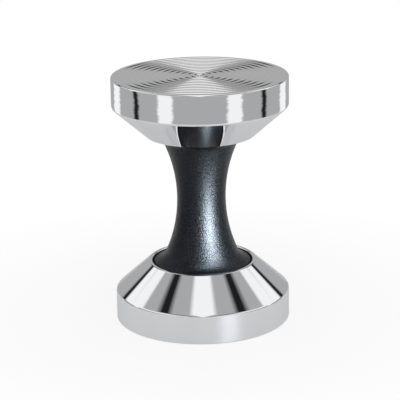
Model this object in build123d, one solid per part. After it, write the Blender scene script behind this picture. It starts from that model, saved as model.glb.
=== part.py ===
from build123d import *

import os
from itertools import pairwise
from math import radians, sqrt, tan

# Espresso tamper with a steel tamping head at each end of a waisted aluminium handle.
# It stands on its flat head, and the rippled head is on top.
# Millimetres. +Z is the axis of symmetry. The origin is the centre of the lower, flat tamping face.
# A threaded rod runs through the handle, two thin nuts clamp it there, and each head screws onto
# one end of it. Threads are plain cylinders at their major diameter.

# Whole object
total_height = 82.4
mid_height = total_height / 2

# Tamping heads, alike but for their faces
head_radius = 29.0
band_height = 9.7
rim_height = 19.65
rim_radius = 17.87
face_edge_round = 0.5
shoulder_round = 0.6
rim_round = 0.45

# Recess in each head that takes the handle's foot
recess_radius = 16.75
recess_floor = 16.8
recess_edge_round = 0.35

# Blind tapped hole in each head
thread_radius = 4.0
thread_clearance = 0.05
hole_countersink = 0.6
hole_bottom = 6.0
drill_tip_angle = 118.0

# Ripples turned into the upper face: rounded crests and grooves with one pitch
ripple_pitch = 2.3
ripple_count = 12
ripple_depth = 0.22

# Rubber ring round each foot: a flat leg under the foot and a lip up its edge
gasket_thickness = 1.0
gasket_leg_inner_radius = 9.6
gasket_lip_inner_radius = 16.11
gasket_outer_radius = 16.7
gasket_lip_top = 19.15
gasket_lip_round = 0.24

# Handle
foot_face = recess_floor + gasket_thickness
foot_radius = 16.08
foot_top = 19.2
foot_edge_round = 0.25
flare_radius = 6.0
waist_radius = 8.07
waist_arc_radius = 45.7
pocket_radius = 8.9
pocket_depth = 8.0
handle_bore_radius = 4.25
pocket_mouth_chamfer = 0.3

# Rod and the fasteners that clamp it in the handle
rod_length = 68.0
rod_end_chamfer = 0.8
washer_outer_radius = 8.0
washer_inner_radius = 4.2
washer_thickness = 1.6
spring_washer_outer_radius = 7.4
spring_washer_inner_radius = 4.1
spring_washer_thickness = 2.0
spring_washer_gap = 0.9
spring_washer_gap_slant = 25.0
nut_across_flats = 13.0
nut_height = 4.0
nut_chamfer_angle = 30.0


def turned(outline, rounds=()):
    """Solid turned about Z from closed edges in the radius-height plane.

    Each round is ((radius, height), size) and softens the outline's corner there.
    """
    section = make_face(outline)
    for corner, size in rounds:
        nearest = section.vertices().sort_by_distance(corner)[0]
        section = fillet(nearest, size)
    return revolve(Plane.XZ * section, axis=Axis.Z)


def straight(*points):
    """Straight edges from point to point."""
    return [Line(a, b) for a, b in pairwise(points)]


def at_upper_end(piece):
    """The same piece turned over, at the upper end of the tamper."""
    return Pos(0, 0, total_height) * Rot(180, 0, 0) * piece


def flat_face():
    """Half section of the flat tamping face."""
    return straight((0, 0), (head_radius, 0))


def ripple_face():
    """Half section of the rippled face: tangent arcs, then a flat land out to the edge."""
    half_wave = ripple_pitch / 2
    mid_depth = ripple_depth / 2
    land_start = ripple_count * ripple_pitch
    edges = [TangentArc((0, 0), (half_wave / 2, mid_depth), tangent=(1, 0))]
    for i in range(2 * ripple_count - 1):
        start = half_wave / 2 + i * half_wave
        peak = ripple_depth if i % 2 == 0 else 0
        edges.append(
            ThreePointArc(
                (start, mid_depth), (start + half_wave / 2, peak), (start + half_wave, mid_depth)
            )
        )
    last = land_start - half_wave / 2
    edges.append(TangentArc((land_start, 0), (last, mid_depth), tangent=(-1, 0)))
    return edges + straight((land_start, 0), (head_radius, 0))


def head(face):
    """Head that stands on its face: band, cone, recess for the foot and blind tapped hole."""
    hole_radius = thread_radius + thread_clearance
    tip_bottom = hole_bottom - hole_radius / tan(radians(drill_tip_angle / 2))
    outline = face + straight(
        (head_radius, 0),
        (head_radius, band_height),
        (rim_radius, rim_height),
        (recess_radius, rim_height),
        (recess_radius, recess_floor),
        (hole_radius + hole_countersink, recess_floor),
        (hole_radius, recess_floor - hole_countersink),
        (hole_radius, hole_bottom),
        (0, tip_bottom),
        (0, 0),
    )
    rounds = [
        ((head_radius, 0), face_edge_round),
        ((head_radius, band_height), shoulder_round),
        ((rim_radius, rim_height), rim_round),
        ((recess_radius, rim_height), recess_edge_round),
    ]
    return turned(outline, rounds)


def flare_geometry():
    """Centre of the foot's flare arc, and the point where it runs into the waist arc."""
    waist_centre_radius = waist_radius + waist_arc_radius
    flare_centre_height = foot_top + flare_radius
    rise = mid_height - flare_centre_height
    reach = sqrt((waist_arc_radius - flare_radius) ** 2 - rise**2)
    flare_centre_radius = waist_centre_radius - reach
    step = flare_radius / (waist_arc_radius - flare_radius)
    join = (flare_centre_radius - reach * step, flare_centre_height - rise * step)
    return (flare_centre_radius, flare_centre_height), join


def handle():
    """Waisted handle, hollow for the rod, with a pocket for a nut and washers at each end."""
    (flare_centre_radius, flare_centre_height), join = flare_geometry()
    bow = flare_centre_radius - foot_radius
    foot_end = (foot_radius, flare_centre_height - sqrt(flare_radius**2 - bow**2))
    pocket_end = foot_face + pocket_depth

    def upper(point):
        return (point[0], total_height - point[1])

    outline = straight(
        (pocket_radius, foot_face),
        (foot_radius, foot_face),
        foot_end,
    )
    outline.append(RadiusArc(foot_end, join, flare_radius))
    outline.append(ThreePointArc(join, (waist_radius, mid_height), upper(join)))
    outline.append(RadiusArc(upper(join), upper(foot_end), flare_radius))
    outline += straight(
        upper(foot_end),
        upper((foot_radius, foot_face)),
        upper((pocket_radius, foot_face)),
        upper((pocket_radius, pocket_end)),
        upper((handle_bore_radius, pocket_end)),
        (handle_bore_radius, pocket_end),
        (pocket_radius, pocket_end),
        (pocket_radius, foot_face),
    )
    rounds = [
        (foot_end, foot_edge_round),
        (upper(foot_end), foot_edge_round),
    ]
    body = turned(outline, rounds)
    mouths = [
        edge
        for edge in body.edges().filter_by(GeomType.CIRCLE)
        if abs(edge.radius - pocket_radius) < 0.01
        and min(abs(edge.center().Z - foot_face), abs(edge.center().Z - upper((0, foot_face))[1])) < 0.01
    ]
    return chamfer(mouths, pocket_mouth_chamfer)


def tie_rod():
    """Threaded rod through the handle, with chamfered ends that stand out into both heads."""
    low = mid_height - rod_length / 2
    high = mid_height + rod_length / 2
    tip_radius = thread_radius - rod_end_chamfer
    return turned(
        straight(
            (0, low),
            (tip_radius, low),
            (thread_radius, low + rod_end_chamfer),
            (thread_radius, high - rod_end_chamfer),
            (tip_radius, high),
            (0, high),
            (0, low),
        )
    )


def plain_ring(inner, outer, low, high):
    """Flat ring between two heights."""
    return turned(straight((inner, low), (outer, low), (outer, high), (inner, high), (inner, low)))


def washer():
    """Plain washer against the lower pocket's floor."""
    top = foot_face + pocket_depth
    return plain_ring(washer_inner_radius, washer_outer_radius, top - washer_thickness, top)


def spring_washer():
    """Flattened split spring washer under the plain one, with its slanted gap."""
    top = foot_face + pocket_depth - washer_thickness
    low = top - spring_washer_thickness
    ring = plain_ring(spring_washer_inner_radius, spring_washer_outer_radius, low, top)
    cutter = Box(2 * spring_washer_outer_radius, spring_washer_gap, 3 * spring_washer_thickness)
    place = Pos(spring_washer_outer_radius, 0, (low + top) / 2)
    return ring - place * Rot(spring_washer_gap_slant, 0, 0) * cutter


def jam_nut():
    """Thin hexagon nut below the spring washer, with chamfered corners."""
    top = foot_face + pocket_depth - washer_thickness - spring_washer_thickness
    low = top - nut_height
    apothem = nut_across_flats / 2
    corner = apothem / sqrt(0.75)
    drop = (corner - apothem) * tan(radians(nut_chamfer_angle))
    blank = extrude(
        Pos(0, 0, low) * RegularPolygon(apothem, 6, major_radius=False), amount=nut_height
    )
    envelope = turned(
        straight(
            (thread_radius + thread_clearance, low),
            (apothem, low),
            (corner, low + drop),
            (corner, top - drop),
            (apothem, top),
            (thread_radius + thread_clearance, top),
            (thread_radius + thread_clearance, low),
        )
    )
    return blank & envelope


def gasket():
    """Rubber ring: a leg between the foot and the recess floor, and a lip up the foot's edge."""
    return turned(
        straight(
            (gasket_leg_inner_radius, recess_floor),
            (gasket_outer_radius, recess_floor),
            (gasket_outer_radius, gasket_lip_top),
            (gasket_lip_inner_radius, gasket_lip_top),
            (gasket_lip_inner_radius, foot_face),
            (gasket_leg_inner_radius, foot_face),
            (gasket_leg_inner_radius, recess_floor),
        ),
        [
            ((gasket_outer_radius, gasket_lip_top), gasket_lip_round),
            ((gasket_lip_inner_radius, gasket_lip_top), gasket_lip_round),
        ],
    )


def build_parts():
    """Every separate piece, by the name of its node."""
    parts = {
        "flat_head": head(flat_face()),
        "ripple_head": at_upper_end(head(ripple_face())),
        "handle": handle(),
        "tie_rod": tie_rod(),
    }
    end_pieces = {
        "washer": washer(),
        "spring_washer": spring_washer(),
        "jam_nut": jam_nut(),
        "foot_gasket": gasket(),
    }
    for name, piece in end_pieces.items():
        parts["lower_" + name] = piece
        parts["upper_" + name] = at_upper_end(piece)
    return parts


os.makedirs("parts", exist_ok=True)
for name, part in build_parts().items():
    export_step(part, f"parts/{name}.step")
    print(f"{name}: {part.volume:.1f} mm3")
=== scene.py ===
# %% [markdown]
# # A double-ended espresso tamper
# Two chromed steel heads, one flat and one rippled, are screwed onto a black waisted handle.
# The CAD model already holds every piece at its real size. This lesson gives the pieces that show a
# smoother skin and a true finish, and lights them the way a shiny object has to be lit.
# The frame is loaded first, because every size and place below is read from it.

# %% Load the fixed frame
from math import asin, atan2, cos, degrees, hypot, pi, radians, sqrt, tan

import bmesh
import bpy
from mathutils import Matrix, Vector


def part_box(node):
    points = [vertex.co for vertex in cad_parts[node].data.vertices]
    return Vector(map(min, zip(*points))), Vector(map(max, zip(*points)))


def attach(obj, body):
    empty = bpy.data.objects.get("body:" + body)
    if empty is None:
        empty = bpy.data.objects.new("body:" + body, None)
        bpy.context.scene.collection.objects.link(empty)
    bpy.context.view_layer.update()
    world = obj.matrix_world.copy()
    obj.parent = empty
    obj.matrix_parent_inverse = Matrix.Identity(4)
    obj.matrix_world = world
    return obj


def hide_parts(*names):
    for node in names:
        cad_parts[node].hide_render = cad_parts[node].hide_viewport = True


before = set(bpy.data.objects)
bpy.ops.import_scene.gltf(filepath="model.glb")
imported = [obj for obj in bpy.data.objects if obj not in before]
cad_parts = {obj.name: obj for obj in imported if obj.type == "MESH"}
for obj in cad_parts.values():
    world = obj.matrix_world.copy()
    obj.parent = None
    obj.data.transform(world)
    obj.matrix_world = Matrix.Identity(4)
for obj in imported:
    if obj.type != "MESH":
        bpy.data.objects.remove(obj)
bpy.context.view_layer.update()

print("nodes:", sorted(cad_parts))

# %% [markdown]
# ## Sizes
# The outer sizes come from the boxes of the CAD nodes. The few that a box can't give, such as the
# height of a shoulder or the depth of a ripple, are the maker's own numbers, in millimetres.
# The shoulder between band and cone is rounded a little more than in the CAD, by 1.0 mm against
# 0.6 mm. Polishing wears such an edge rounder, and the wider round catches the bright line and the
# dark line that a buffed shoulder shows.

# %% Sizes of the heads
MM = 0.001
total_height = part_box("ripple_head")[1].z
head_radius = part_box("flat_head")[1].x
rim_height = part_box("flat_head")[1].z
band_height = 9.7 * MM
rim_radius = 17.87 * MM
recess_radius = 16.75 * MM
recess_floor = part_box("lower_foot_gasket")[0].z
face_edge_round = 0.5 * MM
shoulder_round = 1.0 * MM
rim_round = 0.45 * MM
recess_edge_round = 0.35 * MM
print(f"height {total_height / MM:.2f} mm, head diameter {2 * head_radius / MM:.2f} mm")

# %% Sizes of the ripples, the blind hole and the handle
ripple_pitch = 2.3 * MM
ripple_count = 12
ripple_depth = 0.22 * MM
hole_radius = 4.05 * MM
hole_countersink = 0.6 * MM
hole_bottom = 6.0 * MM
hole_tip_rise = 2.43 * MM

foot_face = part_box("handle")[0].z
foot_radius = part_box("handle")[1].x
foot_top = 19.2 * MM
foot_edge_round = 0.25 * MM
flare_radius = 6.0 * MM
waist_radius = 8.07 * MM
waist_arc_radius = 45.7 * MM
pocket_radius = 8.9 * MM
pocket_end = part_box("lower_washer")[1].z
handle_bore_radius = 4.25 * MM
mouth_chamfer = 0.3 * MM
mid_height = total_height / 2
print(f"handle from {foot_face / MM:.2f} to {(total_height - foot_face) / MM:.2f} mm")

# %% [markdown]
# ## Turning on a lathe
# Heads, handle and rubber rings are all turned shapes, so one way of modelling serves them all:
# draw half of the section as a chain of edges, then spin it round the Z axis.
# A primitive cone or cylinder would need many cuts to get the same flowing outline.
# Arcs in the section are made by spinning a single point about the arc's centre, which keeps
# them true circles however finely they are divided.

# %% Draw a section and spin it
TURN_STEPS = 192
WELD = 1e-7
NEAR = 2e-6


def line_to(shape, last, radius, height):
    """A straight edge from the last point of the section to a new one."""
    ended = shape.verts.new((radius, 0, height))
    shape.edges.new((last, ended))
    return ended


def arc_to(shape, last, centre, angle, steps):
    """The last point swept about a centre (radius, height), clockwise where the angle is positive."""
    swept = bmesh.ops.spin(
        shape, geom=[last], cent=(centre[0], 0, centre[1]), axis=(0, 1, 0), angle=angle, steps=steps
    )
    return next(part for part in swept["geom_last"] if isinstance(part, bmesh.types.BMVert))


def spin_section(shape):
    """One full turn about Z, welded at the seam and at the poles, with faces outwards."""
    bmesh.ops.spin(
        shape,
        geom=shape.verts[:] + shape.edges[:],
        cent=(0, 0, 0),
        axis=(0, 0, 1),
        angle=2 * pi,
        steps=TURN_STEPS,
        use_merge=True,
    )
    bmesh.ops.remove_doubles(shape, verts=shape.verts[:], dist=WELD)
    bmesh.ops.recalc_face_normals(shape, faces=shape.faces[:])


def at(vert, radius, height):
    """True where a vertex lies on the ring of that radius and height."""
    return abs(hypot(vert.co.x, vert.co.y) - radius) < NEAR and abs(vert.co.z - height) < NEAR


def round_ring(shape, radius, height, fillet, turn, segments=6):
    """Rounds the ring of edges there to a fillet, where the section turns by that many degrees."""
    ring = [edge for edge in shape.edges if all(at(vert, radius, height) for vert in edge.verts)]
    bmesh.ops.bevel(
        shape,
        geom=ring,
        offset=fillet * tan(radians(turn) / 2),
        offset_type="OFFSET",
        segments=segments,
        profile=0.5,
        affect="EDGES",
        material=-1,
    )


# %% [markdown]
# ## From mesh to piece
# A mirror finish shows every fault of the shading, so each piece is shaded smooth, its true corners
# are marked sharp, and a Weighted Normal modifier lets the large faces keep their own direction.
# The narrow fillets between them then bend the reflections, and nothing else does.

# %% Make a piece of the object
SHARP_ANGLE = radians(38)
LARGE_FACES_LEAD = 100


def make_piece(shape, name, body, replaced, materials):
    """A named object from a finished shape, riding on its body and standing for a CAD node."""
    mesh = bpy.data.meshes.new(name)
    shape.to_mesh(mesh)
    shape.free()
    mesh.shade_smooth()
    mesh.set_sharp_from_angle(angle=SHARP_ANGLE)
    for material in materials:
        mesh.materials.append(material)
    piece = bpy.data.objects.new(name, mesh)
    bpy.context.scene.collection.objects.link(piece)
    weighted = piece.modifiers.new("face_weighted_normals", "WEIGHTED_NORMAL")
    weighted.keep_sharp = True
    weighted.weight = LARGE_FACES_LEAD
    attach(piece, body)
    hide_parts(replaced)
    print(f"{name}: {len(mesh.polygons)} faces, rides on {body}")
    return piece


# %% [markdown]
# ## Building a material
# Every finish below is made of a handful of nodes. One helper adds a node, fills its sockets and
# links others into it. Colours are written as the sRGB hex that the eye sees, and turned to the
# linear values that the shader works in.

# %% Nodes and colours
def add(tree, kind, sockets=None, links=None, **properties):
    """Adds a node with its properties, socket values and incoming links."""
    made = tree.nodes.new(kind)
    for name, value in properties.items():
        setattr(made, name, value)
    for name, value in (sockets or {}).items():
        made.inputs[name].default_value = value
    for name, source in (links or {}).items():
        tree.links.new(source, made.inputs[name])
    return made


def linear(hex_colour):
    """sRGB hex, such as "#C8CACC", as linear RGBA."""
    channels = [int(hex_colour[i : i + 2], 16) / 255 for i in (1, 3, 5)]
    return [c / 12.92 if c <= 0.04045 else ((c + 0.055) / 1.055) ** 2.4 for c in channels] + [1.0]


def start_material(name):
    """An empty material: its node tree and its Principled shader, already linked to the output."""
    material = bpy.data.materials.new(name)
    material.use_nodes = True
    tree = material.node_tree
    tree.nodes.clear()
    shader = add(tree, "ShaderNodeBsdfPrincipled")
    add(tree, "ShaderNodeOutputMaterial", links={"Surface": shader.outputs["BSDF"]})
    return material, tree, shader


# %% [markdown]
# ## Chrome plate, mirror-polished
# The heads are steel, buffed and plated with bright chrome. Chrome reflects all colours almost
# alike, with a hint of blue, and a buffed plate has a roughness near zero, with a breath of haze in
# soft patches. The straight band is buffed while it turns, which leaves fine lines round it. They
# are too shallow to see, but each one swings the mirrored picture a little to the left or right, so
# upright edges look ragged there. So on the band the normal is nudged along the tangent that runs
# round the axis, by a noise that is 0.9 mm fine along the axis and 8 mm long round it.

# %% Chrome
def mirror_chrome(name, nudge):
    """Mirror chrome. A nudge above 0 swings the normal round the axis by up to about that slope."""
    material, tree, shader = start_material(name)
    shader.inputs["Metallic"].default_value = 1.0
    shader.inputs["Base Color"].default_value = linear("#F0F1F3")
    place = add(tree, "ShaderNodeTexCoord").outputs["Object"]
    haze = add(
        tree, "ShaderNodeTexNoise", {"Scale": 1 / (7 * MM), "Detail": 3.0}, {"Vector": place}
    )
    roughness = add(
        tree,
        "ShaderNodeMapRange",
        {"From Min": 0.35, "From Max": 0.7, "To Min": 0.02, "To Max": 0.05},
        {"Value": haze.outputs["Fac"]},
    )
    tree.links.new(roughness.outputs["Result"], shader.inputs["Roughness"])
    if nudge == 0:
        return material
    stretched = add(
        tree,
        "ShaderNodeMapping",
        {"Scale": (1 / (8 * MM), 1 / (8 * MM), 1 / (0.9 * MM))},
        {"Vector": place},
    )
    lines = add(
        tree, "ShaderNodeTexNoise", {"Scale": 1.0, "Detail": 2.0}, {"Vector": stretched.outputs[0]}
    )
    swing = add(
        tree,
        "ShaderNodeMapRange",
        {"To Min": -nudge, "To Max": nudge},
        {"Value": lines.outputs["Fac"]},
        clamp=False,
    )
    around = add(tree, "ShaderNodeTangent", direction_type="RADIAL", axis="Z")
    sideways = add(
        tree,
        "ShaderNodeVectorMath",
        links={0: around.outputs["Tangent"], "Scale": swing.outputs["Result"]},
        operation="SCALE",
    )
    outwards = add(tree, "ShaderNodeNewGeometry").outputs["Normal"]
    nudged = add(
        tree,
        "ShaderNodeVectorMath",
        links={0: outwards, 1: sideways.outputs["Vector"]},
        operation="ADD",
    )
    unit = add(
        tree, "ShaderNodeVectorMath", links={0: nudged.outputs["Vector"]}, operation="NORMALIZE"
    )
    tree.links.new(unit.outputs["Vector"], shader.inputs["Normal"])
    return material


mirror = mirror_chrome("chrome_plate_mirror_polished", 0)
buffed_band = mirror_chrome("chrome_plate_buffed_in_turning", 0.035)
print("made", mirror.name, "and", buffed_band.name)

# %% [markdown]
# ## Fine-turned ripples
# The rippled face is cut with a form tool on a lathe and left as cut, so under the plating it keeps
# a satin look. Its fine cutter marks run in circles, which stretches every highlight across them
# into the bright fans seen on any turned face. An anisotropic shader with a tangent that runs
# round the Z axis gives that, at no cost in geometry.

# %% Turned satin face
def turned_face(name, hex_colour, roughness_low, roughness_high):
    """Metal with the fine circular lines of a lathe tool."""
    material, tree, shader = start_material(name)
    shader.inputs["Metallic"].default_value = 1.0
    shader.inputs["Anisotropic"].default_value = 0.3
    place = add(tree, "ShaderNodeTexCoord").outputs["Object"]
    parts = add(tree, "ShaderNodeSeparateXYZ", links={"Vector": place})
    across = add(
        tree, "ShaderNodeCombineXYZ", links={"X": parts.outputs["X"], "Y": parts.outputs["Y"]}
    )
    radius = add(
        tree, "ShaderNodeVectorMath", links={0: across.outputs["Vector"]}, operation="LENGTH"
    )
    # the feed of the tool leaves lines about 0.3 mm apart
    feed = add(
        tree,
        "ShaderNodeTexNoise",
        {"Scale": 1 / (0.3 * MM), "Detail": 1.0},
        {"W": radius.outputs["Value"]},
        noise_dimensions="1D",
    )
    shader.inputs["Base Color"].default_value = linear(hex_colour)
    roughness = add(
        tree,
        "ShaderNodeMapRange",
        {"From Min": 0.3, "From Max": 0.7, "To Min": roughness_low, "To Max": roughness_high},
        {"Value": feed.outputs["Fac"]},
    )
    tree.links.new(roughness.outputs["Result"], shader.inputs["Roughness"])
    bump = add(
        tree,
        "ShaderNodeBump",
        {"Strength": 0.3, "Distance": 0.003 * MM},
        {"Height": feed.outputs["Fac"]},
    )
    tree.links.new(bump.outputs["Normal"], shader.inputs["Normal"])
    around = add(tree, "ShaderNodeTangent", direction_type="RADIAL", axis="Z")
    tree.links.new(around.outputs["Tangent"], shader.inputs["Tangent"])
    return material


ripple_satin = turned_face("chrome_plate_over_fine_turning", "#F1F1F2", 0.05, 0.1)
recess_satin = turned_face("steel_turned_recess", "#B8BABD", 0.3, 0.42)
flat_satin = turned_face("chrome_plate_over_flat_facing", "#F1F1F2", 0.08, 0.14)
print("made", ripple_satin.name + ",", recess_satin.name, "and", flat_satin.name)

# %% [markdown]
# ## Black anodised aluminium
# The handle is turned from aluminium, blasted with glass beads and anodised black. Blasting leaves
# a skin of tiny dents, and anodising lays a hard dyed layer over it. The result is nearly black with
# a cool cast, satin, and full of fine sparkle where a strong light strikes it.
# Real dents are about 0.1 mm across, too fine to show, so two coarser noises stand for them. One of
# 0.35 mm bends the light through the bump. One of 0.42 mm makes some flecks smoother than others:
# where the highlight is strong the smooth ones flash, and where it fades the rough ones still glow.
# That speckles the highlight and leaves the dark flanks quiet, which a grain in the colour can't do.

# %% Handle finish
def anodised_black():
    """Satin black dye over a bead-blasted skin."""
    material, tree, shader = start_material("black_anodised_bead_blasted_aluminium")
    shader.inputs["Metallic"].default_value = 0.85
    place = add(tree, "ShaderNodeTexCoord").outputs["Object"]
    grain = add(
        tree, "ShaderNodeTexNoise", {"Scale": 1 / (0.35 * MM), "Detail": 1.0}, {"Vector": place}
    )
    flecks = add(
        tree, "ShaderNodeTexNoise", {"Scale": 1 / (0.42 * MM), "Detail": 1.0}, {"Vector": place}
    )
    coarseness = add(
        tree,
        "ShaderNodeMapRange",
        {"From Min": 0.35, "From Max": 0.65},
        {"Value": flecks.outputs["Fac"]},
    )
    dye = add(
        tree,
        "ShaderNodeMix",
        {"A": linear("#1A1D21"), "B": linear("#22262B")},
        data_type="RGBA",
    )
    tree.links.new(coarseness.outputs["Result"], dye.inputs["Factor"])
    tree.links.new(dye.outputs["Result"], shader.inputs["Base Color"])
    roughness = add(
        tree,
        "ShaderNodeMapRange",
        {"To Min": 0.26, "To Max": 0.39},
        {"Value": coarseness.outputs["Result"]},
    )
    tree.links.new(roughness.outputs["Result"], shader.inputs["Roughness"])
    bump = add(
        tree,
        "ShaderNodeBump",
        {"Strength": 1.0, "Distance": 0.1 * MM},
        {"Height": grain.outputs["Fac"]},
    )
    tree.links.new(bump.outputs["Normal"], shader.inputs["Normal"])
    return material


handle_black = anodised_black()
print("made", handle_black.name)

# %% [markdown]
# ## Rubber and zinc
# The rings that bed each foot are moulded nitrile rubber: black, matt and a little mottled.
# The rod, nuts and washers inside are bright zinc-plated steel, greyer and softer than chrome.

# %% Rubber and zinc plate
def nitrile_rubber():
    """Matt black rubber with a faint mottle."""
    material, tree, shader = start_material("black_nitrile_rubber")
    place = add(tree, "ShaderNodeTexCoord").outputs["Object"]
    mottle = add(
        tree, "ShaderNodeTexNoise", {"Scale": 1 / (0.8 * MM), "Detail": 4.0}, {"Vector": place}
    )
    tint = add(
        tree,
        "ShaderNodeMix",
        {"A": linear("#070708"), "B": linear("#121213")},
        data_type="RGBA",
    )
    tree.links.new(mottle.outputs["Fac"], tint.inputs["Factor"])
    tree.links.new(tint.outputs["Result"], shader.inputs["Base Color"])
    shader.inputs["Roughness"].default_value = 0.75
    shader.inputs["Specular IOR Level"].default_value = 0.15
    bump = add(
        tree,
        "ShaderNodeBump",
        {"Strength": 0.3, "Distance": 0.02 * MM},
        {"Height": mottle.outputs["Fac"]},
    )
    tree.links.new(bump.outputs["Normal"], shader.inputs["Normal"])
    return material


def zinc_plate():
    """Soft grey zinc with cloudy patches."""
    material, tree, shader = start_material("bright_zinc_plated_steel")
    shader.inputs["Metallic"].default_value = 1.0
    place = add(tree, "ShaderNodeTexCoord").outputs["Object"]
    bloom = add(
        tree, "ShaderNodeTexNoise", {"Scale": 1 / (2.5 * MM), "Detail": 4.0}, {"Vector": place}
    )
    tint = add(
        tree,
        "ShaderNodeMix",
        {"A": linear("#BFC5CA"), "B": linear("#DDD9C9")},
        data_type="RGBA",
    )
    tree.links.new(bloom.outputs["Fac"], tint.inputs["Factor"])
    tree.links.new(tint.outputs["Result"], shader.inputs["Base Color"])
    roughness = add(
        tree,
        "ShaderNodeMapRange",
        {"From Min": 0.3, "From Max": 0.7, "To Min": 0.22, "To Max": 0.4},
        {"Value": bloom.outputs["Fac"]},
    )
    tree.links.new(roughness.outputs["Result"], shader.inputs["Roughness"])
    return material


rubber = nitrile_rubber()
zinc = zinc_plate()
print("made", rubber.name, "and", zinc.name)

# %% [markdown]
# ## The two heads
# Both heads share one section: tamping face, straight band, cone, a rounded rim, the recess that
# takes the handle's foot, and a blind hole for the rod. It is drawn standing on its face, so the
# upper head is the same drawing turned over. Only the first stretch differs: a straight line for
# the flat head, and a chain of arcs that run into each other for the ripples.

# %% Sections of the two faces
RIPPLE_STEPS = 6


def flat_section():
    """A section that starts at the centre of a flat face."""
    shape = bmesh.new()
    return shape, shape.verts.new((0, 0, 0))


def ripple_section():
    """A section that starts with the ripples: crests and grooves of one radius, tangent in turn."""
    half_wave = ripple_pitch / 2
    rise = ripple_depth / 2
    arc_radius = half_wave**2 / (8 * rise) + rise / 2
    half_angle = asin(half_wave / 2 / arc_radius)
    shape, last = flat_section()
    last = arc_to(shape, last, (0, arc_radius), -half_angle, RIPPLE_STEPS // 2)
    for i in range(1, 2 * ripple_count):
        groove = i % 2 == 1
        height = ripple_depth - arc_radius if groove else arc_radius
        turn = 2 * half_angle if groove else -2 * half_angle
        last = arc_to(shape, last, (i * half_wave, height), turn, RIPPLE_STEPS)
    land_start = (ripple_count * ripple_pitch, arc_radius)
    last = arc_to(shape, last, land_start, -half_angle, RIPPLE_STEPS // 2)
    return shape, last


# %% One head from its section
MIRROR_SLOT, BAND_SLOT, FACE_SLOT, RECESS_SLOT = range(4)
BAND_MARGIN = 0.1 * MM


def finish_head(shape, last):
    """Band, cone, rim, recess and hole, spun, rounded at the edges, with a finish for each zone."""
    for radius, height in (
        (head_radius, 0),
        (head_radius, band_height),
        (rim_radius, rim_height),
        (recess_radius, rim_height),
        (recess_radius, recess_floor),
        (hole_radius + hole_countersink, recess_floor),
        (hole_radius, recess_floor - hole_countersink),
        (hole_radius, hole_bottom),
        (0, hole_bottom - hole_tip_rise),
    ):
        last = line_to(shape, last, radius, height)
    spin_section(shape)
    cone_turn = degrees(atan2(head_radius - rim_radius, rim_height - band_height))
    round_ring(shape, head_radius, 0, face_edge_round, 90)
    round_ring(shape, head_radius, band_height, shoulder_round, cone_turn)
    round_ring(shape, rim_radius, rim_height, rim_round, 90 - cone_turn)
    round_ring(shape, recess_radius, rim_height, recess_edge_round, 90)
    face_edge = head_radius - face_edge_round - NEAR
    for face in shape.faces:
        centre = face.calc_center_median()
        radius = hypot(centre.x, centre.y)
        if radius > head_radius - BAND_MARGIN and centre.z < band_height - shoulder_round / 2:
            face.material_index = BAND_SLOT
        elif radius < face_edge and centre.z < ripple_depth + NEAR:
            face.material_index = FACE_SLOT
        elif radius < recess_radius + NEAR:
            face.material_index = RECESS_SLOT
    return shape


def turn_over(shape):
    """Turns a shape over and puts it at the upper end of the tamper."""
    flip = Matrix.Translation((0, 0, total_height)) @ Matrix.Rotation(pi, 4, "X")
    bmesh.ops.transform(shape, matrix=flip, verts=shape.verts[:])
    return shape


# %% Make both heads
flat_head = make_piece(
    finish_head(*flat_section()),
    "flat_head_chromed",
    "flat_head",
    "flat_head",
    [mirror, buffed_band, flat_satin, recess_satin],
)
ripple_head = make_piece(
    turn_over(finish_head(*ripple_section())),
    "ripple_head_chromed",
    "ripple_head",
    "ripple_head",
    [mirror, buffed_band, ripple_satin, recess_satin],
)

# %% [markdown]
# ## The handle
# The handle's outline is three arcs that run into each other: a long shallow one for the waist, and
# a short one at each end that sweeps out into the foot. Where two arcs meet, both centres and the
# meeting point lie on one line, and that fixes the place of the short arc's centre.

# %% Where the flare meets the waist
waist_centre = (waist_radius + waist_arc_radius, mid_height)
flare_centre_height = foot_top + flare_radius
centre_gap = waist_arc_radius - flare_radius
centre_rise = mid_height - flare_centre_height
centre_reach = sqrt(centre_gap**2 - centre_rise**2)
flare_centre = (waist_centre[0] - centre_reach, flare_centre_height)
join_angle = atan2(centre_rise, centre_reach)
foot_angle = asin((flare_centre[0] - foot_radius) / flare_radius)
print(f"the flare is centred {flare_centre[0] / MM:.2f} mm from the axis")

# %% Handle
FLARE_STEPS = 14
WAIST_STEPS = 40


def handle_shape():
    """The bored handle: pocket, foot, flare, waist, and the same again at the top."""
    shape = bmesh.new()
    top = total_height
    first = last = shape.verts.new((handle_bore_radius, 0, pocket_end))
    for radius, height in (
        (pocket_radius, pocket_end),
        (pocket_radius, foot_face + mouth_chamfer),
        (pocket_radius + mouth_chamfer, foot_face),
        (foot_radius, foot_face),
        (foot_radius, flare_centre[1] - flare_radius * cos(foot_angle)),
    ):
        last = line_to(shape, last, radius, height)
    foot_edge_height = last.co.z
    flare_turn = pi / 2 - foot_angle - join_angle
    last = arc_to(shape, last, flare_centre, flare_turn, FLARE_STEPS)
    last = arc_to(shape, last, waist_centre, 2 * join_angle, WAIST_STEPS)
    upper_flare_centre = (flare_centre[0], top - flare_centre[1])
    last = arc_to(shape, last, upper_flare_centre, flare_turn, FLARE_STEPS)
    for radius, height in (
        (foot_radius, top - foot_face),
        (pocket_radius + mouth_chamfer, top - foot_face),
        (pocket_radius, top - foot_face - mouth_chamfer),
        (pocket_radius, top - pocket_end),
        (handle_bore_radius, top - pocket_end),
    ):
        last = line_to(shape, last, radius, height)
    shape.edges.new((last, first))
    spin_section(shape)
    corner_turn = 90 - degrees(foot_angle)
    round_ring(shape, foot_radius, foot_edge_height, foot_edge_round, corner_turn)
    round_ring(shape, foot_radius, top - foot_edge_height, foot_edge_round, corner_turn)
    return shape


handle = make_piece(
    handle_shape(),
    "waisted_handle",
    "handle",
    "handle",
    [handle_black],
)

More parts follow.
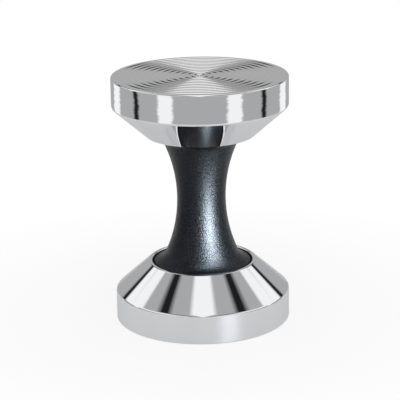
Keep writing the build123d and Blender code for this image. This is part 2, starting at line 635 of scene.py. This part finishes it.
# %% [markdown]
# ## The rubber rings
# Each foot beds on a rubber ring with an L-shaped section. The leg lies under the foot, and the lip
# stands up round the foot's edge and shows as a thin black line. Its top is rounded, as moulded
# rubber is.

# %% Rubber rings
lip_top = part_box("lower_foot_gasket")[1].z
ring_outer_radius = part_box("lower_foot_gasket")[1].x
ring_lip_radius = 16.11 * MM
ring_leg_radius = 9.6 * MM
lip_round = 0.24 * MM


def rubber_ring_shape():
    """The lower ring: leg and lip, with the top of the lip rounded."""
    shape = bmesh.new()
    first = last = shape.verts.new((ring_leg_radius, 0, recess_floor))
    for radius, height in (
        (ring_outer_radius, recess_floor),
        (ring_outer_radius, lip_top),
        (ring_lip_radius, lip_top),
        (ring_lip_radius, foot_face),
        (ring_leg_radius, foot_face),
    ):
        last = line_to(shape, last, radius, height)
    shape.edges.new((last, first))
    spin_section(shape)
    round_ring(shape, ring_outer_radius, lip_top, lip_round, 90)
    round_ring(shape, ring_lip_radius, lip_top, lip_round, 90)
    return shape


for end, shape in (("lower", rubber_ring_shape()), ("upper", turn_over(rubber_ring_shape()))):
    make_piece(
        shape, f"{end}_rubber_ring", f"{end}_gasket", f"{end}_foot_gasket", [rubber]
    )

# %% [markdown]
# ## The threaded rod
# The rod shows when a head is unscrewed, so it gets a real thread. A thread is one tooth of the
# section carried round and up: a spin whose steps also climb, by one pitch in a full turn. That one
# turn is copied up the rod and welded. The loose skin is then cut square at both ends and capped,
# and the last threads are drawn in to a chamfer.

# %% Threaded rod
thread_pitch = 1.25 * MM
thread_radius = 4.0 * MM
thread_root_radius = 3.23 * MM
rod_low, rod_high = (corner.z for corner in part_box("tie_rod"))
rod_chamfer = 0.8 * MM
THREAD_STEPS = 40
# shares of one pitch: the flat root, each flank and the flat crest add up to one
ROOT_SHARE, FLANK_SHARE, CREST_SHARE = 1 / 4, 5 / 16, 1 / 8


def cut_square(shape, height, above):
    """Cuts off what lies beyond a height and closes the end with one flat face."""
    side = 1 if above else -1
    cut = bmesh.ops.bisect_plane(
        shape,
        geom=shape.verts[:] + shape.edges[:] + shape.faces[:],
        plane_co=(0, 0, height),
        plane_no=(0, 0, side),
        clear_outer=True,
    )
    edges = [part for part in cut["geom_cut"] if isinstance(part, bmesh.types.BMEdge)]
    bmesh.ops.holes_fill(shape, edges=edges)


def threaded_rod_shape():
    """A metric thread with flat crests and roots, from below the rod's end to above it."""
    shape = bmesh.new()
    turns = int((rod_high - rod_low) / thread_pitch) + 3
    last = shape.verts.new((thread_root_radius, 0, rod_low - 1.5 * thread_pitch))
    for radius, share in (
        (thread_root_radius, ROOT_SHARE),
        (thread_radius, FLANK_SHARE),
        (thread_radius, CREST_SHARE),
        (thread_root_radius, FLANK_SHARE),
    ):
        last = line_to(shape, last, radius, last.co.z + share * thread_pitch)
    bmesh.ops.spin(
        shape,
        geom=shape.verts[:] + shape.edges[:],
        cent=(0, 0, 0),
        axis=(0, 0, 1),
        dvec=(0, 0, thread_pitch / THREAD_STEPS),
        angle=2 * pi,
        steps=THREAD_STEPS,
    )
    one_turn = shape.faces[:]
    for i in range(1, turns):
        copied = bmesh.ops.duplicate(shape, geom=one_turn)
        verts = [part for part in copied["geom"] if isinstance(part, bmesh.types.BMVert)]
        bmesh.ops.translate(shape, vec=(0, 0, i * thread_pitch), verts=verts)
    bmesh.ops.remove_doubles(shape, verts=shape.verts[:], dist=WELD * 10)
    cut_square(shape, rod_low, above=False)
    cut_square(shape, rod_high, above=True)
    for vert in shape.verts:
        room = min(vert.co.z - rod_low, rod_high - vert.co.z)
        limit = thread_radius - rod_chamfer + max(room, 0)
        reach = hypot(vert.co.x, vert.co.y)
        if reach > limit:
            vert.co.x *= limit / reach
            vert.co.y *= limit / reach
    bmesh.ops.remove_doubles(shape, verts=shape.verts[:], dist=NEAR)
    bmesh.ops.dissolve_degenerate(shape, edges=shape.edges[:], dist=NEAR)
    bmesh.ops.recalc_face_normals(shape, faces=shape.faces[:])
    open_edges = [edge for edge in shape.edges if len(edge.link_faces) != 2]
    print(f"rod: {turns} turns of thread, {len(open_edges)} open edges")
    return shape


make_piece(threaded_rod_shape(), "threaded_rod", "handle", "tie_rod", [zinc])

# %% [markdown]
# ## Nuts and washers
# The clamping nuts and washers sit in the pockets of the handle. Their CAD solids already have the
# right shape, so they stay, and only take the zinc finish.

# %% Finish the small hardware
for end in ("lower", "upper"):
    for part in ("washer", "spring_washer", "jam_nut"):
        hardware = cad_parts[f"{end}_{part}"]
        hardware.data.materials.clear()
        hardware.data.materials.append(zinc)
        print("zinc on", hardware.name)

# %% [markdown]
# ## The studio that the chrome mirrors
# A mirror has no colour of its own, so chrome looks like chrome only when it has something to show:
# bright boards with dark edges between them. A studio for shiny goods has a few soft boxes, grey
# walls and black flags for that. Mesh boards would do it too, but painted on the world they need
# no geometry that could show or cast a shadow.
# Each board is a band of angles with soft edges, on a plain grey. Above the horizon it runs from
# front to back and is told by its angle to the side, because the lower cone mirrors the ceiling that
# way. Below the horizon it stands upright and is told by its compass angle, because the upright
# bands mirror the walls. The back boards lie across, and the ripples mirror them.
# The boards stand at even angles, alike at left and right, in three neutral tones. That is a
# studio for any shiny object, and none of it is fitted to this one. The camera sees plain white.

# %% Boards of the studio
SOFT_BOX, STUDIO_GREY, BLACK_FLAG = "#FFFFFF", "#B0B0B0", "#202020"
BOX_HALF, FLAG_HALF = 10, 4
BACK_WALL_TOP = 30
# angles, half width and tone; all angles are in degrees
CEILING_BOARDS = (
    ((0, 60), BOX_HALF, SOFT_BOX),
    ((30,), FLAG_HALF, BLACK_FLAG),
)
WALL_BOARDS = (
    ((45, 135), BOX_HALF, SOFT_BOX),
    ((90,), FLAG_HALF, BLACK_FLAG),
)
# from the horizon upwards: middle, half width and tone
BACK_BOARDS = (
    (0, BACK_WALL_TOP, STUDIO_GREY),
    (BACK_WALL_TOP, FLAG_HALF, BLACK_FLAG),
    (60, BOX_HALF, SOFT_BOX),
)


def both_sides(boards):
    """Each board at the left and at the right: its middle, its half width and its tone."""
    return [
        (middle, half_width, tone)
        for angles, half_width, tone in boards
        for angle in angles
        for middle in sorted({-angle, angle})
    ]


def lay_board(tree, under, share, paint):
    """Lays a board's colour over what is painted already, by its share at each angle."""
    laid = add(
        tree, "ShaderNodeMix", {"B": linear(paint)}, {"Factor": share, "A": under}, data_type="RGBA"
    )
    return laid.outputs["Result"]


def within(tree, angle, middle, half_width, soft=2.0):
    """1 where an angle in degrees lies that near a middle, falling softly to 0 outside."""
    offset = add(tree, "ShaderNodeMath", {1: middle}, {0: angle}, operation="SUBTRACT")
    distance = add(tree, "ShaderNodeMath", links={0: offset.outputs["Value"]}, operation="ABSOLUTE")
    share = add(
        tree,
        "ShaderNodeMapRange",
        {
            "From Min": half_width - soft,
            "From Max": half_width + soft,
            "To Min": 1.0,
            "To Max": 0.0,
        },
        {"Value": distance.outputs["Value"]},
    )
    return share.outputs["Result"]


# %% [markdown]
# ## Painting the boards on the world
# The direction of a ray gives three angles: to the side, round the compass, and up over the back.
# Every board is then one colour mixed over what lies under it, so a later board covers an earlier
# one. The ceiling and the walls meet in a soft blend at the horizon.

# %% Paint the world
HORIZON_BLEND = 0.05

world = bpy.data.worlds.new("studio_for_chrome")
bpy.context.scene.world = world
world.use_nodes = True
sky = world.node_tree
sky.nodes.clear()
look = add(sky, "ShaderNodeTexCoord").outputs["Generated"]
way = add(sky, "ShaderNodeSeparateXYZ", links={"Vector": look})
towards_front = add(
    sky, "ShaderNodeMath", {1: -1.0}, {0: way.outputs["Y"]}, operation="MULTIPLY"
)


def degrees_between(first, second):
    """The angle in degrees whose tangent is the first value over the second."""
    turned = add(sky, "ShaderNodeMath", links={0: first, 1: second}, operation="ARCTAN2")
    angle = add(sky, "ShaderNodeMath", links={0: turned.outputs["Value"]}, operation="DEGREES")
    return angle.outputs["Value"]


sideways = degrees_between(way.outputs["X"], way.outputs["Z"])
compass = degrees_between(way.outputs["X"], towards_front.outputs["Value"])
over_the_top = degrees_between(way.outputs["Z"], way.outputs["Y"])
grey = add(sky, "ShaderNodeRGB").outputs["Color"]
grey.default_value = linear(STUDIO_GREY)
upper = grey
for middle, half_width, tone in both_sides(CEILING_BOARDS):
    upper = lay_board(sky, upper, within(sky, sideways, middle, half_width), tone)
for middle, half_width, tone in BACK_BOARDS:
    upper = lay_board(sky, upper, within(sky, over_the_top, middle, half_width), tone)
lower = grey
for middle, half_width, tone in both_sides(WALL_BOARDS):
    lower = lay_board(sky, lower, within(sky, compass, middle, half_width), tone)
above = add(
    sky,
    "ShaderNodeMapRange",
    {"From Min": -HORIZON_BLEND, "From Max": HORIZON_BLEND},
    {"Value": way.outputs["Z"]},
)
room = add(
    sky,
    "ShaderNodeMix",
    links={"Factor": above.outputs["Result"], "A": lower, "B": upper},
    data_type="RGBA",
)
seen = add(sky, "ShaderNodeLightPath").outputs["Is Camera Ray"]
room_glow = add(
    sky, "ShaderNodeBackground", {"Strength": 1.0}, {"Color": room.outputs["Result"]}
)
backdrop = add(sky, "ShaderNodeBackground", {"Color": (1, 1, 1, 1), "Strength": 1.0})
picked = add(
    sky,
    "ShaderNodeMixShader",
    links={0: seen, 1: room_glow.outputs["Background"], 2: backdrop.outputs["Background"]},
)
add(sky, "ShaderNodeOutputWorld", links={"Surface": picked.outputs["Shader"]})
print("ceiling boards:", len(both_sides(CEILING_BOARDS)))
print("wall boards:", len(both_sides(WALL_BOARDS)), "and back boards:", len(BACK_BOARDS))

# %% [markdown]
# ## The table
# The tamper stands on a small pale table top. Close to the tamper the table keeps its own shading,
# and to the camera it fades to plain white further out, so its edge never shows. It is one pale
# grey all over, and the upper cone mirrors it.

# %% Pale table top
TABLE_RADIUS = 200 * MM
TABLE_GAP = 0.02 * MM
TABLE_GREY = "#D0D0D0"
FADE_START, FADE_END = 40 * MM, 130 * MM
FADE_AT_START = 0.85

table_shape = bmesh.new()
bmesh.ops.create_circle(table_shape, cap_ends=True, radius=TABLE_RADIUS, segments=96)
bmesh.ops.translate(table_shape, vec=(0, 0, -TABLE_GAP), verts=table_shape.verts[:])
table_mesh = bpy.data.meshes.new("table_top")
table_shape.to_mesh(table_mesh)
table_shape.free()
table_top = bpy.data.objects.new("table_top", table_mesh)
bpy.context.scene.collection.objects.link(table_top)

paper, tree, matt = start_material("pale_matt_table")
matt.inputs["Roughness"].default_value = 0.45
matt.inputs["Base Color"].default_value = linear(TABLE_GREY)
place = add(tree, "ShaderNodeTexCoord").outputs["Object"]
distance = add(tree, "ShaderNodeVectorMath", links={0: place}, operation="LENGTH")
fade = add(
    tree,
    "ShaderNodeMapRange",
    {"From Min": FADE_START, "From Max": FADE_END, "To Min": FADE_AT_START, "To Max": 1.0},
    {"Value": distance.outputs["Value"]},
)
to_camera = add(tree, "ShaderNodeLightPath").outputs["Is Camera Ray"]
amount = add(
    tree, "ShaderNodeMath", links={0: fade.outputs["Result"], 1: to_camera}, operation="MULTIPLY"
)
plain_white = add(tree, "ShaderNodeEmission", {"Color": (1, 1, 1, 1), "Strength": 1.0})
faded = add(
    tree,
    "ShaderNodeMixShader",
    links={0: amount.outputs["Value"], 1: matt.outputs["BSDF"], 2: plain_white.outputs["Emission"]},
)
tree.links.new(faded.outputs["Shader"], tree.nodes["Material Output"].inputs["Surface"])
table_mesh.materials.append(paper)
print("table top of", 2 * TABLE_RADIUS / MM, "mm")

# %% [markdown]
# ## The lamps
# The painted studio lights the chrome by itself. One soft key lamp from above the camera adds to the
# matt surfaces and gives the table its shadow. The sheen lamp shows in the table's gloss alone.
# The satin handle needs larger lights, because a rough surface blurs the narrow boards of the studio
# away. A tall window at the right draws its bright stripe, and a skylight carries that stripe down
# over the foot. Light linking keeps both off the chrome, which would show their edges, and lets the
# heads alone shade them, because the tall window reaches below the table's level.

# %% Lamps
LAMP_DISTANCE = 0.9


def add_lamp(name, azimuth, elevation, width, height, watts, rays, hex_colour):
    """A soft rectangular lamp that faces the middle of the tamper. Azimuth 0 is the front."""
    lamp = bpy.data.lights.new(name, "AREA")
    lamp.color = linear(hex_colour)[:3]
    lamp.shape = "RECTANGLE"
    lamp.size = width
    lamp.size_y = height
    lamp.energy = watts
    holder = bpy.data.objects.new(name, lamp)
    bpy.context.scene.collection.objects.link(holder)
    turn = Matrix.Rotation(radians(azimuth), 4, "Z") @ Matrix.Rotation(
        radians(90 - elevation), 4, "X"
    )
    middle = Matrix.Translation((0, 0, mid_height))
    holder.matrix_world = middle @ turn @ Matrix.Translation((0, 0, LAMP_DISTANCE))
    holder.visible_camera = False
    holder.visible_glossy = rays == "glossy"
    holder.visible_diffuse = rays == "diffuse"
    return holder


def light_only(lamp, lit, shaded_by=None):
    """Lets a lamp reach one object alone. A collection of what may shade it can be given too."""
    group = bpy.data.collections.new("lit_by_" + lamp.name)
    group.objects.link(lit)
    lamp.light_linking.receiver_collection = group
    if shaded_by:
        lamp.light_linking.blocker_collection = shaded_by


heads = bpy.data.collections.new("heads")
for head in (flat_head, ripple_head):
    heads.objects.link(head)
add_lamp("soft_key", 4, 50, 0.6, 0.6, 5.6, "diffuse", "#FFFFFF")
light_only(add_lamp("table_sheen", 34, 17.5, 0.34, 0.75, 2.8, "glossy", "#F0F6FF"), table_top)
window = add_lamp("handle_window", 33, -3, 0.44, 0.82, 108.0, "glossy", "#F9FDFA")
skylight = add_lamp("handle_skylight", 42, 66, 0.5, 1.4, 54.0, "glossy", "#F5FBFB")
light_only(window, handle, heads)
light_only(skylight, handle, heads)
print("lamps:", sorted(lamp.name for lamp in bpy.data.lights))

# %% [markdown]
# ## Camera
# A long lens from a little over half a metre away, looking down by about seventeen degrees.
# The tamper leans by less than a degree in the frame, so the camera is rolled by as much.

# %% Camera
CAMERA_DISTANCE = 558.7 * MM
AIM_HEIGHT = 41.0 * MM
CAMERA_ELEVATION = 16.75
CAMERA_TILT = 0.10
CAMERA_PAN = 0.05
CAMERA_ROLL = -0.89
LENS, SENSOR_WIDTH = 151.6, 36
NEAREST_SHOWN = 0.01

camera_data = bpy.data.cameras.new("camera")
camera_data.lens = LENS
camera_data.sensor_width = SENSOR_WIDTH
camera_data.clip_start = NEAREST_SHOWN
camera = bpy.data.objects.new("camera", camera_data)
bpy.context.scene.collection.objects.link(camera)
bpy.context.scene.camera = camera
aim = Matrix.Translation((0, 0, AIM_HEIGHT)) @ Matrix.Rotation(
    radians(90 - CAMERA_ELEVATION), 4, "X"
)
stand = aim @ Matrix.Translation((0, 0, CAMERA_DISTANCE))
pan = Matrix.Rotation(radians(CAMERA_PAN), 4, "Y")
tilt = Matrix.Rotation(radians(-CAMERA_TILT), 4, "X")
roll = Matrix.Rotation(radians(CAMERA_ROLL), 4, "Z")
camera.matrix_world = stand @ pan @ tilt @ roll
bpy.context.scene.view_settings.view_transform = "Standard"
print("camera at", [round(x, 3) for x in camera.matrix_world.translation])

# %% [markdown]
# ## The end
# The view layer is updated once more, so that every piece stands where its body puts it.

# %% The end
bpy.context.view_layer.update()
